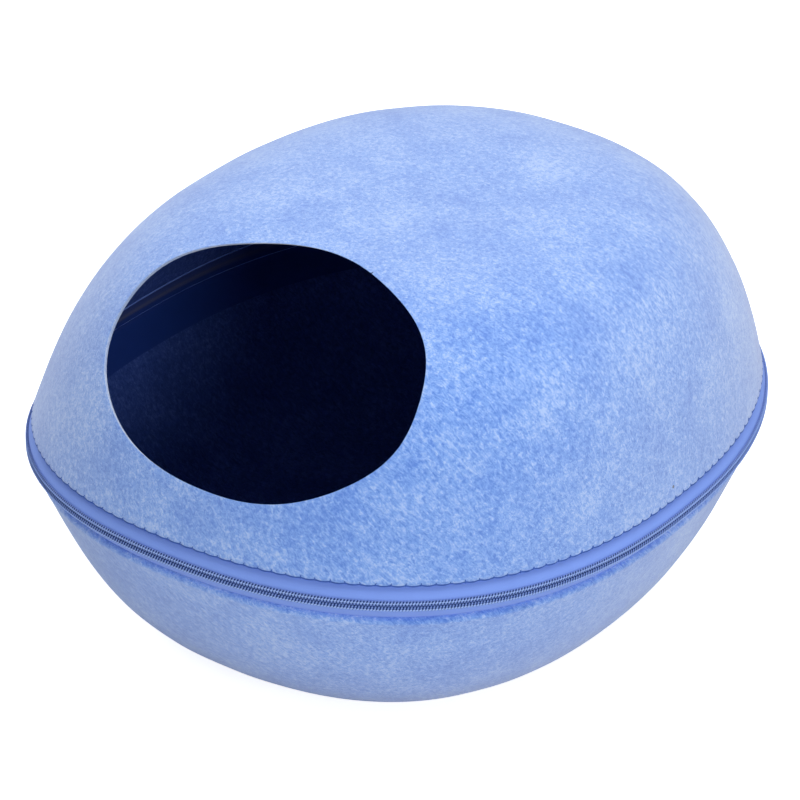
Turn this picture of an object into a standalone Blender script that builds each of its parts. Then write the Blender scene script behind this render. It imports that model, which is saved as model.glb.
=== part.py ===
"""Felt cat cave: a felt dome with an oval entry and a felt bowl, joined by a coil zip.

Units are metres and +Z is up. The flat base lies on z = 0, the entry faces -Y, and the
zip's two ends meet under its slider at the back, +Y. Both shells and both zip tapes are
sheets: their outer faces are laid out here in rows from the bottom to the top, and a
Solidify modifier gives each its thickness inwards.
"""

import math

import bmesh
import bpy
from mathutils import Vector

# The zip line: the cave's plan at its widest, seen from above
HALF_LENGTH = 0.230
HALF_WIDTH = 0.198
PLAN_POWER = 2.28        # 2 is an ellipse, more is squarer
ENTRY_FLARE = 0.034      # the entry half is wider than the mean by up to this share
ZIP_HEIGHT = 0.121
ZIP_WAVE = 0.0035        # the line rises by this at both ends and falls by it at the sides

# Sheets
FELT = 0.004
TAPE = 0.001
SEAM_GAP = 0.0003        # between pieces that touch
LAP_GAP = 0.0005         # between a shell's inner face and the tape sewn to it

# Dome, from its cut edge up
DOME_EDGE_INSET = 0.0033
DOME_EDGE_RISE = 0.0117
DOME_HEIGHT = 0.1422
DOME_PEAK_X = 0.0216
DOME_PEAK_Y = -0.0196
# Its section is one Bezier curve, upright at the edge and level at the peak
SIDE_HANDLE_SPREAD = 0.827   # share of the radius at the side handle's end
SIDE_HANDLE_HEIGHT = 0.997   # share of the height there
PEAK_HANDLE_SPREAD = 0.579   # share of the radius at the peak handle's end

# Bowl, from its cut edge down
BOWL_EDGE_INSET = 0.0055
BOWL_EDGE_DROP = 0.0138
BOWL_DEPTH = 0.1084      # to where the sides would close, just under the flat base
BOWL_SIDE_POWER = 6.11   # 2 is an ellipse, more has straighter sides
BOWL_BASE_POWER = 0.866

# Entry: an oval cut square to its own axis
ENTRY_HALF_WIDTH = 0.1006
ENTRY_HALF_HEIGHT = 0.0755
ENTRY_PITCH = math.radians(39.3)
ENTRY_YAW = math.radians(7.0)     # its axis leans from -Y towards +X
ENTRY_AXIS_DROP = 0.0333          # its axis passes this far below the zip line's middle
# The cut was made by hand: how far it strays from a plain oval
ENTRY_WOBBLES = (
    # waves, cosine share, sine share
    (3, 0.0009, 0.0024),
    (4, -0.0034, 0.0023),
    (5, 0.0034, 0.0039),
    (6, -0.0050, 0.0006),
    (7, -0.0038, -0.0043),
)

# Zip
COIL_WIDTH = 0.00335     # of one side's coil
COIL_DEPTH = 0.0015
COIL_BREAK = 0.0008      # from the middle of the back to each end of the coils
TAPE_LAP = 0.006         # how far a tape goes up or down behind the felt
CORNER_CLEAR = 0.0008    # how far past the felt's edge a tape turns outwards

# Slider and pull
SLIDER_LENGTH = 0.0105
SLIDER_WALL = 0.001
CROWN_SPAN = 0.0066
CROWN_THICKNESS = 0.0012
PULL_WIDTH = 0.0042
PULL_LENGTH = 0.025
PULL_THICKNESS = 0.0008
PULL_EYE_DROP = 0.004    # from the crown's middle to where the ribbon's two ends meet
PULL_FOLD_STEPS = 6

# Facets
AROUND = 72
DOME_ROWS = 12
BOWL_ROWS = 11
ENTRY_SIDES = 56

BASE_DEPTH = (ZIP_HEIGHT - BOWL_EDGE_DROP) / BOWL_DEPTH
PLATE_FRONT = SEAM_GAP + SLIDER_WALL
CROWN_BACK = PLATE_FRONT + PULL_THICKNESS + 2 * SEAM_GAP
PULL_FRONT = CROWN_BACK + CROWN_THICKNESS + SEAM_GAP + PULL_THICKNESS
CENTRE_Y = -PULL_FRONT / 2    # puts the origin in the middle of the whole length


def signed_power(value, power):
    return math.copysign(abs(value) ** power, value)


def plan_point(angle, inset):
    """A point of the zip line, at an angle from +X, moved towards the middle by inset."""
    y = HALF_LENGTH * signed_power(math.sin(angle), 2 / PLAN_POWER)
    x = HALF_WIDTH * signed_power(math.cos(angle), 2 / PLAN_POWER)
    x *= 1 - ENTRY_FLARE * y / HALF_LENGTH
    keep = 1 - inset / math.hypot(x, y)
    return Vector((x * keep, y * keep, 0))


def zip_level(angle):
    return ZIP_HEIGHT - ZIP_WAVE * math.cos(2 * angle)


def angles_around():
    return [2 * math.pi * step / AROUND for step in range(AROUND)]


def zip_ring(out, up, angles=None):
    """A ring that follows the zip line, moved outwards and up."""
    ring = []
    for angle in angles or angles_around():
        point = plan_point(angle, -out)
        ring.append(Vector((point.x, point.y + CENTRE_Y, zip_level(angle) + up)))
    return ring


def dome_ring(share):
    """The dome's outer face at a share of its section's curve, from 0, its edge, to its peak."""
    rest = 1 - share
    side_weight = 3 * rest ** 2 * share
    peak_weight = 3 * rest * share ** 2
    spread = rest ** 3 + side_weight * SIDE_HANDLE_SPREAD + peak_weight * PEAK_HANDLE_SPREAD
    height = side_weight * SIDE_HANDLE_HEIGHT + peak_weight + share ** 3
    ring = []
    for angle in angles_around():
        point = plan_point(angle, DOME_EDGE_INSET) * spread
        point += Vector((DOME_PEAK_X, DOME_PEAK_Y, 0)) * height
        level = ZIP_HEIGHT + (zip_level(angle) - ZIP_HEIGHT) * max(0, 1 - height)
        level += DOME_EDGE_RISE + DOME_HEIGHT * height
        ring.append(Vector((point.x, point.y + CENTRE_Y, level)))
    return ring


def bowl_ring(depth):
    """The bowl's outer face at a share of its depth, from 0, its edge, to BASE_DEPTH."""
    spread = (1 - depth ** BOWL_BASE_POWER) ** (1 / BOWL_SIDE_POWER)
    ring = []
    for angle in angles_around():
        point = plan_point(angle, BOWL_EDGE_INSET) * spread
        level = ZIP_HEIGHT + (zip_level(angle) - ZIP_HEIGHT) * (1 - depth / BASE_DEPTH)
        level -= BOWL_EDGE_DROP + BOWL_DEPTH * depth
        ring.append(Vector((point.x, point.y + CENTRE_Y, level)))
    return ring


def lap_ring(edge, beyond, distance):
    """A ring behind a shell's inner face, a distance from its edge towards its next ring."""
    ring = []
    for step, start in enumerate(edge):
        along = (beyond[step] - start).normalized()
        around = edge[(step + 1) % AROUND] - edge[step - 1]
        inwards = Vector((-around.y, around.x, 0)).normalized()
        ring.append(start + along * distance + inwards * (FELT + LAP_GAP) / abs(along.z))
    return ring


def even_steps(ring_at, first, last, rows):
    """Values from first to last whose rings are evenly spaced along the shell's side."""
    fine = 400
    values = [(first * (fine - step) + last * step) / fine for step in range(fine + 1)]
    lengths = [0.0]
    before = ring_at(values[0])[0]
    for value in values[1:]:
        point = ring_at(value)[0]
        lengths.append(lengths[-1] + (point - before).length)
        before = point
    steps = []
    for row in range(rows + 1):
        target = lengths[-1] * row / rows
        nearest = min(range(fine + 1), key=lambda step: abs(lengths[step] - target))
        steps.append(values[nearest])
    return steps


def add_object(name, mesh, material):
    made = bpy.data.objects.new(name, mesh)
    bpy.context.collection.objects.link(made)
    if material:
        mesh.materials.append(material)
    mesh.shade_smooth()
    mesh.set_sharp_from_angle(angle=math.radians(40))
    return made


def add_material(name, colour, roughness):
    material = bpy.data.materials.new(name)
    material.use_nodes = True
    shader = material.node_tree.nodes["Principled BSDF"]
    shader.inputs["Base Color"].default_value = (*colour, 1)
    shader.inputs["Roughness"].default_value = roughness
    return material


def bridge_rings(bm, rings):
    """Faces between rings of vertices, wound to face outwards when they run upwards."""
    for low, high in zip(rings, rings[1:]):
        for step, vert in enumerate(low):
            after = (step + 1) % len(low)
            bm.faces.new((vert, low[after], high[after], high[step]))


def add_sheet(name, rows, thickness, material, bottom=None, top=None):
    """A sheet through rows of points, closed by a fan to a bottom or a top point."""
    bm = bmesh.new()
    rings = [[bm.verts.new(point) for point in row] for row in rows]
    bridge_rings(bm, rings)
    for pole, ring, outward in ((bottom, rings[0], -1), (top, rings[-1], 1)):
        if pole is not None:
            tip = bm.verts.new(pole)
            for step, vert in enumerate(ring):
                after = ring[(step + 1) % len(ring)]
                corners = (tip, vert, after)
                bm.faces.new(corners[::outward])
    mesh = bpy.data.meshes.new(name)
    bm.to_mesh(mesh)
    bm.free()
    sheet = add_object(name, mesh, material)
    solidify = sheet.modifiers.new("thickness", "SOLIDIFY")
    solidify.thickness = thickness
    solidify.offset = -1
    solidify.use_even_offset = True
    return sheet


def add_sweep(name, sections, material, closed):
    """A solid through sections of points: a closed ring, or a length with flat ends."""
    bm = bmesh.new()
    loops = [[bm.verts.new(point) for point in section] for section in sections]
    bridge_rings(bm, loops + loops[:1] if closed else loops)
    if not closed:
        bm.faces.new(loops[0][::-1])
        bm.faces.new(loops[-1])
    bmesh.ops.recalc_face_normals(bm, faces=bm.faces)
    mesh = bpy.data.meshes.new(name)
    bm.to_mesh(mesh)
    bm.free()
    return add_object(name, mesh, material)


def combine(target, tool, operation):
    """Cut a shape out of an object, or join one to it."""
    tool.hide_render = True
    tool.display_type = "WIRE"
    boolean = target.modifiers.new(tool.name, "BOOLEAN")
    boolean.operation = operation
    boolean.solver = "EXACT"
    boolean.object = tool


def entry_cutter():
    """The prism that cuts the entry, pitched up and turned a little from straight ahead."""
    side = Vector((math.cos(ENTRY_YAW), math.sin(ENTRY_YAW), 0))
    level = Vector((math.sin(ENTRY_YAW), -math.cos(ENTRY_YAW), 0))
    axis = level * math.cos(ENTRY_PITCH) + Vector((0, 0, math.sin(ENTRY_PITCH)))
    rise = axis.cross(side)
    start = Vector((0, CENTRE_Y, ZIP_HEIGHT - ENTRY_AXIS_DROP)) + axis * HALF_WIDTH / 2
    outline = []
    for step in range(ENTRY_SIDES):
        angle = 2 * math.pi * step / ENTRY_SIDES
        reach = 1.0
        for waves, cosine, sine in ENTRY_WOBBLES:
            reach += cosine * math.cos(waves * angle) + sine * math.sin(waves * angle)
        across = side * ENTRY_HALF_WIDTH * math.cos(angle)
        outline.append(start + (across + rise * ENTRY_HALF_HEIGHT * math.sin(angle)) * reach)
    far_end = [point + axis * HALF_LENGTH for point in outline]
    return add_sweep("entry_cutter", [outline, far_end], None, closed=False)


def add_dome(material):
    shares = even_steps(dome_ring, 0, 1, DOME_ROWS)
    rows = [dome_ring(share) for share in shares[:-1]]
    peak = sum(dome_ring(1), Vector()) / AROUND
    dome = add_sheet("upper_shell", rows, FELT, material, top=peak)
    combine(dome, entry_cutter(), "DIFFERENCE")
    return rows


def add_bowl(material):
    depths = even_steps(bowl_ring, BASE_DEPTH, 0, BOWL_ROWS)
    rows = [bowl_ring(depth) for depth in depths]
    middle = Vector((0, CENTRE_Y, 0))
    flat_row = [middle.lerp(point, 0.5) for point in rows[0]]
    add_sheet("lower_shell", [flat_row] + rows, FELT, material, bottom=middle)
    return rows


def add_tapes(dome_rows, bowl_rows, material):
    """Each tape laps behind its shell, slopes out to the coil and turns flat behind it."""
    back = -COIL_DEPTH - SEAM_GAP
    edge = SEAM_GAP / 2
    upper_rows = [
        zip_ring(back, edge),
        zip_ring(back, edge + COIL_WIDTH),
        lap_ring(dome_rows[0], dome_rows[1], -CORNER_CLEAR),
        lap_ring(dome_rows[0], dome_rows[1], TAPE_LAP),
    ]
    add_sheet("upper_zip_tape", upper_rows, TAPE, material)
    lower_rows = [
        lap_ring(bowl_rows[-1], bowl_rows[-2], TAPE_LAP),
        lap_ring(bowl_rows[-1], bowl_rows[-2], -2 * CORNER_CLEAR),
        zip_ring(back, -edge - COIL_WIDTH),
        zip_ring(back, -edge),
    ]
    add_sheet("lower_zip_tape", lower_rows, TAPE, material)


def add_coil(name, side, material):
    """One side's coil as a round-cornered bead, open at the back where its ends meet."""
    turn = COIL_BREAK / HALF_WIDTH
    turn = turn ** (PLAN_POWER / 2)
    back = math.pi / 2
    angles = [back + turn]
    angles += [back + 2 * math.pi * step / AROUND for step in range(1, AROUND)]
    angles += [back + 2 * math.pi - turn]
    low = SEAM_GAP / 2
    middle = low + COIL_WIDTH / 2
    top = low + COIL_WIDTH
    outline = (
        # out, up
        (-COIL_DEPTH, low),
        (-COIL_DEPTH * 0.3, low),
        (0, middle),
        (-COIL_DEPTH * 0.3, top),
        (-COIL_DEPTH, top),
    )
    rings = [zip_ring(out, side * up, angles) for out, up in outline]
    sections = [list(section) for section in zip(*rings)]
    add_sweep(name, sections, material, closed=False)


def back_point(x, out, up):
    """A point on the back of the cave, measured from the middle of the zip line there."""
    return Vector((x, HALF_LENGTH + CENTRE_Y + out, ZIP_HEIGHT + ZIP_WAVE + up))


def extrude_along_x(name, outline, width, material):
    ends = []
    for x in (-width / 2, width / 2):
        ends.append([back_point(x, out, up) for out, up in outline])
    return add_sweep(name, ends, material, closed=False)


def add_slider(material):
    """A plate over the coils with a flange above and below, and a crown for the pull."""
    inner = COIL_WIDTH + SEAM_GAP / 2 + SEAM_GAP
    outer = inner + SLIDER_WALL
    foot = -COIL_DEPTH
    channel = (
        # out, up
        (foot, -outer),
        (SEAM_GAP, -outer),
        (PLATE_FRONT, -inner),
        (PLATE_FRONT, inner),
        (SEAM_GAP, outer),
        (foot, outer),
        (foot, inner),
        (SEAM_GAP, inner),
        (SEAM_GAP, -inner),
        (foot, -inner),
    )
    slider = extrude_along_x("zip_slider", channel, SLIDER_LENGTH, material)
    half = CROWN_SPAN / 2
    legs_out = CROWN_BACK + CROWN_THICKNESS
    root = PLATE_FRONT - SLIDER_WALL / 2
    arch = (
        # along, out
        (-half - CROWN_THICKNESS, root),
        (-half, root),
        (-half, CROWN_BACK),
        (half, CROWN_BACK),
        (half, root),
        (half + CROWN_THICKNESS, root),
        (half + CROWN_THICKNESS, CROWN_BACK),
        (half, legs_out),
        (-half, legs_out),
        (-half - CROWN_THICKNESS, CROWN_BACK),
    )
    sides = []
    for up in (-CROWN_THICKNESS / 2, CROWN_THICKNESS / 2):
        sides.append([back_point(x, out, up) for x, out in arch])
    crown = add_sweep("zip_crown", sides, None, closed=False)
    combine(slider, crown, "UNION")


def add_pull(material):
    """A narrow ribbon looped through the crown, its two ends sewn together below."""
    eye_out = CROWN_BACK + CROWN_THICKNESS / 2
    eye_radius = CROWN_THICKNESS / 2 + SEAM_GAP
    fold_radius = eye_radius + PULL_THICKNESS
    outer = []
    inner = []
    for step in range(PULL_FOLD_STEPS + 1):
        angle = math.pi * step / PULL_FOLD_STEPS
        turn = Vector((math.cos(angle), math.sin(angle)))
        outer.append(turn * fold_radius)
        inner.append(turn * eye_radius)
    for side in (-1, 1):
        bend = [Vector((side * fold_radius, -PULL_EYE_DROP / 2))]
        bend_inside = [Vector((side * eye_radius, -PULL_EYE_DROP / 2))]
        bend.append(Vector((side * PULL_THICKNESS, -PULL_LENGTH)))
        bend_inside.append(Vector((side * SEAM_GAP / 2, -PULL_EYE_DROP)))
        outer += bend[::-side]
        inner += bend_inside[::-side]
    half = PULL_WIDTH / 2
    sections = []
    for near, far in zip(outer, inner):
        corners = ((near, -half), (near, half), (far, half), (far, -half))
        sections.append([back_point(x, eye_out + at.x, at.y) for at, x in corners])
    add_sweep("zip_pull", sections, material, closed=True)


def main():
    for leftover in list(bpy.data.objects):
        bpy.data.objects.remove(leftover, do_unlink=True)
    felt = add_material("felt", (0.27, 0.42, 0.87), 0.95)
    tape = add_material("zip_tape", (0.16, 0.29, 0.76), 0.85)
    coil = add_material("zip_coil", (0.20, 0.29, 0.55), 0.45)
    slider = add_material("slider", (0.16, 0.29, 0.70), 0.40)
    dome_rows = add_dome(felt)
    bowl_rows = add_bowl(felt)
    add_tapes(dome_rows, bowl_rows, tape)
    add_coil("upper_zip_coil", 1, coil)
    add_coil("lower_zip_coil", -1, coil)
    add_slider(slider)
    add_pull(tape)


main()
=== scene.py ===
# %% [markdown]
# # A felt cat cave
# Two pressed felt shells, a dome with an oval entry and a bowl, meet at a coil zip that runs
# all the way round. This lesson dresses the plain solids of the cave for a picture: it loads
# them as a fixed frame, then makes each cloth piece again in a finer form on the same sizes.
# The solids stay where they are, and a solid whose place a finer piece takes is hidden.

# %% Load the solids
import math

import bmesh
import bpy
import numpy as np
from mathutils import Matrix, Vector, noise


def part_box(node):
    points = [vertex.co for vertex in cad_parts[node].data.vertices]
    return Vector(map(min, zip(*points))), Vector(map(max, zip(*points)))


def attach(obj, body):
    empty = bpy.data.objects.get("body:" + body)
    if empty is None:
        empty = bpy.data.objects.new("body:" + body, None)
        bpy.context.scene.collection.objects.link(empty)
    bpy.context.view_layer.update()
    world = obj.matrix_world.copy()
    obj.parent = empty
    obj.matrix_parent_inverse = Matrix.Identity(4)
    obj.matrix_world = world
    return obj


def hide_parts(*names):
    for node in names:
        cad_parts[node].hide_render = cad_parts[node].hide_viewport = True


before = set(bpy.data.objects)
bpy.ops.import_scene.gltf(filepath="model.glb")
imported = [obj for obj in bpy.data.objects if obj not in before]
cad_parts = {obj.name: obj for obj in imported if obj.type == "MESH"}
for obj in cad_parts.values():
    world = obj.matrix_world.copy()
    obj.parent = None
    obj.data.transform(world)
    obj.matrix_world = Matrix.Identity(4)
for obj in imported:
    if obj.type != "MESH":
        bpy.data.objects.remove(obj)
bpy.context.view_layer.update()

print("solids:", sorted(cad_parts))

# %% [markdown]
# ## The shape in a few numbers
# Everything follows the zip line, a rounded oval that is a little wider on the entry's side.
# The dome's section is one Bezier curve and the bowl's is a power curve. Seen from above,
# both keep the zip line's plan and only shrink towards the peak and the base. All lengths are
# in metres, with +Z up and the entry facing -Y.

# %% Sizes of the cave
HALF_LENGTH = 0.230
HALF_WIDTH = 0.198
PLAN_POWER = 2.28                # 2 is an ellipse, more is squarer
ENTRY_FLARE = 0.034              # how much wider the entry's side is
CENTRE_Y = -0.0025
ZIP_HEIGHT = 0.121
ZIP_WAVE = 0.0035                # the zip line rises by this at both ends
FELT = 0.004                     # thickness
TAPE = 0.001                     # thickness
TOUCH = 0.0003                   # between pieces that touch
LAP_GAP = 0.0005                 # between a shell's inner face and the tape sewn to it

DOME_INSET = 0.0033
DOME_RISE = 0.0117
DOME_HEIGHT = 0.1422
DOME_PEAK = (0.0216, -0.0196)
SIDE_HANDLE = (0.827, 0.997)     # share of the radius, share of the height
PEAK_HANDLE = (0.579, 1.0)

BOWL_INSET = 0.0055
BOWL_DROP = 0.0138
BOWL_DEPTH = 0.1084
BOWL_SIDE_POWER = 6.11
BOWL_BASE_POWER = 0.866
BASE_DEPTH = (ZIP_HEIGHT - BOWL_DROP) / BOWL_DEPTH

ENTRY_HALF_WIDTH = 0.1006
ENTRY_HALF_HEIGHT = 0.0755
ENTRY_PITCH = math.radians(39.3)
ENTRY_YAW = math.radians(7.0)
ENTRY_AXIS_DROP = 0.0333
ENTRY_WOBBLES = (
    # waves, cosine share, sine share
    (3, 0.0009, 0.0024),
    (4, -0.0034, 0.0023),
    (5, 0.0034, 0.0039),
    (6, -0.0050, 0.0006),
    (7, -0.0038, -0.0043),
)

# %% [markdown]
# ## The zip line, measured along its length
# Stitches and coil turns are spaced by length, not by angle, so the line is walked once in
# short steps and a table then gives the angle at any length. `zip_row` gives a whole ring of
# points beside the line, moved outwards and up, and `out_of` the directions out of a ring.

# %% The zip line
WALK_STEPS = 7200


def unit_rows(rows):
    """The rows' vectors, each made one long."""
    return rows / np.linalg.norm(rows, axis=1)[:, None]


def lengths_along(points):
    """The length walked from the first point to each of them."""
    return np.concatenate([[0], np.cumsum(np.linalg.norm(np.diff(points, axis=0), axis=1))])


def plan_points(angles, inset):
    """Points of the zip line seen from above, at angles from +X, moved inwards by inset."""
    sines = np.sin(angles)
    cosines = np.cos(angles)
    y = HALF_LENGTH * np.sign(sines) * np.abs(sines) ** (2 / PLAN_POWER)
    x = HALF_WIDTH * np.sign(cosines) * np.abs(cosines) ** (2 / PLAN_POWER)
    x = x * (1 - ENTRY_FLARE * y / HALF_LENGTH)
    keep = 1 - inset / np.hypot(x, y)
    return np.stack([x * keep, y * keep], axis=1)


def zip_wave(angles):
    return -ZIP_WAVE * np.cos(2 * angles)


def zip_row(angles, out, up):
    plan = plan_points(angles, -out)
    level = ZIP_HEIGHT + zip_wave(angles) + up
    return np.column_stack([plan[:, 0], plan[:, 1] + CENTRE_Y, level])


walk_angles = np.linspace(0, 2 * np.pi, WALK_STEPS + 1)
walk_lengths = lengths_along(zip_row(walk_angles, 0, 0))
ZIP_LENGTH = walk_lengths[-1]


def angles_at(lengths):
    """Angles from +X at lengths along the zip line."""
    return np.interp(np.mod(lengths, ZIP_LENGTH), walk_lengths, walk_angles)


def angles_round(columns):
    return angles_at(ZIP_LENGTH * np.arange(columns) / columns)


def level_out(along):
    """Level unit vectors that point out of a ring, from those along it."""
    return unit_rows(np.column_stack([along[:, 1], -along[:, 0], np.zeros(len(along))]))


def out_of(row):
    """Level unit vectors that point out of a closed row of points."""
    return level_out(unit_rows(np.roll(row, -1, axis=0) - np.roll(row, 1, axis=0)))


print("zip line, m:", round(float(ZIP_LENGTH), 4))

# %% [markdown]
# ## The shells as rows
# A shell is worked out row by row from its cut edge. The rows are spaced by length up the
# shell's side, close together at the cut edge, where the felt is sewn and bends most.

# %% Rows of the shells
TABLE_ROWS = 1500
SIDE_ANGLE = np.array([0.9])     # from +X, where a side is measured
EDGE_STEP = 0.004                # over which a side's slope at the cut edge is read


def dome_row(angles, share):
    """The dome's outer face at a share of its section's curve, from 0, its edge, to its peak."""
    rest = 1 - share
    side = 3 * rest ** 2 * share
    peak = 3 * rest * share ** 2
    spread = rest ** 3 + side * SIDE_HANDLE[0] + peak * PEAK_HANDLE[0]
    height = side * SIDE_HANDLE[1] + peak * PEAK_HANDLE[1] + share ** 3
    plan = plan_points(angles, DOME_INSET) * spread
    level = ZIP_HEIGHT + zip_wave(angles) * max(0.0, 1 - height)
    level = level + DOME_RISE + DOME_HEIGHT * height
    x = plan[:, 0] + DOME_PEAK[0] * height
    y = plan[:, 1] + DOME_PEAK[1] * height + CENTRE_Y
    return np.column_stack([x, y, level])


def bowl_row(angles, depth):
    """The bowl's outer face at a share of its depth, from 0, its edge, to BASE_DEPTH."""
    spread = max(0.0, 1 - depth ** BOWL_BASE_POWER) ** (1 / BOWL_SIDE_POWER)
    plan = plan_points(angles, BOWL_INSET) * spread
    level = ZIP_HEIGHT + zip_wave(angles) * (1 - depth / BASE_DEPTH)
    level = level - BOWL_DROP - BOWL_DEPTH * depth
    return np.column_stack([plan[:, 0], plan[:, 1] + CENTRE_Y, level])


def value_table(row_at, last):
    """Values of a shell's rows against their length from the cut edge, at the side."""
    values = np.linspace(0, last, TABLE_ROWS)
    return values, lengths_along(np.array([row_at(SIDE_ANGLE, value)[0] for value in values]))


dome_values, dome_lengths = value_table(dome_row, 1.0)
bowl_values, bowl_lengths = value_table(bowl_row, BASE_DEPTH)


def row_lengths(total, fine_steps, rows):
    """Lengths from the cut edge: the given short steps, then even ones to the end."""
    start = list(np.cumsum([0.0] + list(fine_steps)))
    rest = np.linspace(start[-1], total, rows + 1)[1:]
    return start + list(rest)


def dome_at(angles, length):
    return dome_row(angles, float(np.interp(length, dome_lengths, dome_values)))


def bowl_at(angles, length):
    return bowl_row(angles, float(np.interp(length, bowl_lengths, bowl_values)))


def lap_row(shell_at, angles, length, gap=LAP_GAP):
    """A row behind a shell's inner face. A negative length runs on past its cut edge."""
    edge = shell_at(angles, 0)
    up_side = unit_rows(shell_at(angles, EDGE_STEP) - edge)
    row = shell_at(angles, length) if length > 0 else edge + up_side * length
    return row - out_of(edge) * (FELT + gap) / np.abs(up_side[:, 2:3])


print("dome side, m:", round(dome_lengths[-1], 3), "bowl side, m:", round(bowl_lengths[-1], 3))

# %% [markdown]
# ## Small helpers for modelling
# Operators act on whatever is selected, so each step starts from nothing selected. A piece is
# finished by its modifiers, which are applied, and is then given its materials and hung on
# the body's empty, and the solid it stands for is hidden.

# %% Helpers
MERGE = 1e-6


def add_piece(add, **settings):
    """A primitive from its operator, with nothing else selected."""
    bpy.ops.object.select_all(action="DESELECT")
    add(**settings)
    return bpy.context.active_object


def select_only(piece):
    bpy.ops.object.select_all(action="DESELECT")
    piece.select_set(True)
    bpy.context.view_layer.objects.active = piece


def unselect_mesh(piece):
    """Selects the piece, with no face, edge or point of its mesh selected."""
    select_only(piece)
    for part in (piece.data.polygons, piece.data.edges, piece.data.vertices):
        part.foreach_set("select", [False] * len(part))


def apply_modifier(piece, kind, name, **settings):
    modifier = piece.modifiers.new(name, kind)
    for key, value in settings.items():
        setattr(modifier, key, value)
    select_only(piece)
    bpy.ops.object.modifier_apply(modifier=name)


def finish_piece(piece, materials=(), node=None, smooth=40):
    """Smooth shading, materials, and what the piece rides on and stands for."""
    select_only(piece)
    bpy.ops.object.shade_smooth_by_angle(angle=math.radians(smooth))
    for material in materials:
        piece.data.materials.append(material)
    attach(piece, "root")
    if node:
        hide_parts(node)
    triangles = sum(len(face.vertices) - 2 for face in piece.data.polygons)
    print(piece.name, "triangles:", triangles)


def get_points(piece, what="co"):
    """The places of a mesh's points as rows, or their normals."""
    values = np.empty(len(piece.data.vertices) * 3)
    piece.data.vertices.foreach_get(what, values)
    return values.reshape(-1, 3)


def put_points(piece, points):
    piece.data.vertices.foreach_set("co", points.ravel())
    piece.data.update()


def add_strip(name, rows, closed_across=False):
    """A closed strip through rows of points, from a grid whose two ends are merged."""
    columns = len(rows[0])
    across = len(rows) if closed_across else len(rows) - 1
    add_grid = bpy.ops.mesh.primitive_grid_add
    strip = add_piece(add_grid, x_subdivisions=columns, y_subdivisions=across, size=1)
    strip.name = name
    for vert in strip.data.vertices:
        column = round((vert.co.x + 0.5) * columns) % columns
        row = round((vert.co.y + 0.5) * across) % len(rows)
        vert.co = rows[row][column]
    bpy.ops.object.mode_set(mode="EDIT")
    bpy.ops.mesh.select_all(action="SELECT")
    bpy.ops.mesh.remove_doubles(threshold=MERGE)
    bpy.ops.object.mode_set(mode="OBJECT")
    return strip


def copy_along(name, model, places, axes):
    """One joined mesh of copies of a model, each at its place and turned to its three axes."""
    points = get_points(model)
    faces = [tuple(face.vertices) for face in model.data.polygons]
    if np.linalg.det(axes[0]) < 0:
        # such axes mirror the model, which would leave its faces inside out
        faces = [face[::-1] for face in faces]
    placed = np.einsum("pk,nkc->npc", points, axes) + places[:, None, :]
    all_faces = []
    for first in range(0, len(places) * len(points), len(points)):
        all_faces += [tuple(first + corner for corner in face) for face in faces]
    mesh = bpy.data.meshes.new(name)
    mesh.from_pydata(placed.reshape(-1, 3).tolist(), [], all_faces)
    joined = bpy.data.objects.new(name, mesh)
    bpy.context.scene.collection.objects.link(joined)
    bpy.data.objects.remove(model, do_unlink=True)
    return joined


# %% [markdown]
# ## Helpers for materials
# A material is a tree of nodes. Values that are the same all over are set on the sockets, and
# only what changes over the surface is linked. The same few steps come back in each finish:
# a noise, a blend of two colours, and a bump that feeds the shader's normal.

# %% Node helpers


def add_node(tree, kind, **settings):
    """A node whose own settings and sockets take the values given by name."""
    node = tree.nodes.new(kind)
    for key, value in settings.items():
        if hasattr(node, key):
            setattr(node, key, value)
        else:
            node.inputs[key.replace("_", " ")].default_value = value
    return node


def feed(tree, socket, value):
    """Sets a socket to a number or a colour, or links another node's output to it."""
    if isinstance(value, (int, float)):
        socket.default_value = value
    elif isinstance(value, tuple):
        socket.default_value = (*value, 1)
    else:
        tree.links.new(value, socket)


def math_node(tree, operation, first, second=None, clamp=False):
    node = tree.nodes.new("ShaderNodeMath")
    node.operation = operation
    node.use_clamp = clamp
    feed(tree, node.inputs[0], first)
    if second is not None:
        feed(tree, node.inputs[1], second)
    return node.outputs[0]


def noise_value(tree, vector, scale, **settings):
    node = add_node(tree, "ShaderNodeTexNoise", **settings)
    feed(tree, node.inputs["Vector"], vector)
    feed(tree, node.inputs["Scale"], scale)
    return node.outputs["Fac"]


def mix_colours(tree, factor, first, second):
    node = add_node(tree, "ShaderNodeMix", data_type="RGBA")
    feed(tree, node.inputs["Factor"], factor)
    feed(tree, node.inputs[6], first)
    feed(tree, node.inputs[7], second)
    return node.outputs[2]


def add_relief(tree, shader, height, strength, distance):
    node = add_node(tree, "ShaderNodeBump", Strength=strength, Distance=distance)
    feed(tree, node.inputs["Height"], height)
    feed(tree, shader.inputs["Normal"], node.outputs["Normal"])


def new_material(name, **settings):
    """A material, its tree and its shader, whose sockets take the values given by name."""
    material = bpy.data.materials.new(name)
    material.use_nodes = True
    shader = material.node_tree.nodes["Principled BSDF"]
    for key, value in settings.items():
        shader.inputs[key.replace("_", " ")].default_value = value
    return material, material.node_tree, shader


def new_group(name, inputs, outputs):
    group = bpy.data.node_groups.new(name, "ShaderNodeTree")
    for label, kind, value in inputs:
        socket = group.interface.new_socket(name=label, in_out="INPUT", socket_type=kind)
        if value is not None:
            socket.default_value = value
    for label in outputs:
        group.interface.new_socket(name=label, in_out="OUTPUT", socket_type="NodeSocketFloat")
    return group, group.nodes.new("NodeGroupInput"), group.nodes.new("NodeGroupOutput")


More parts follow.
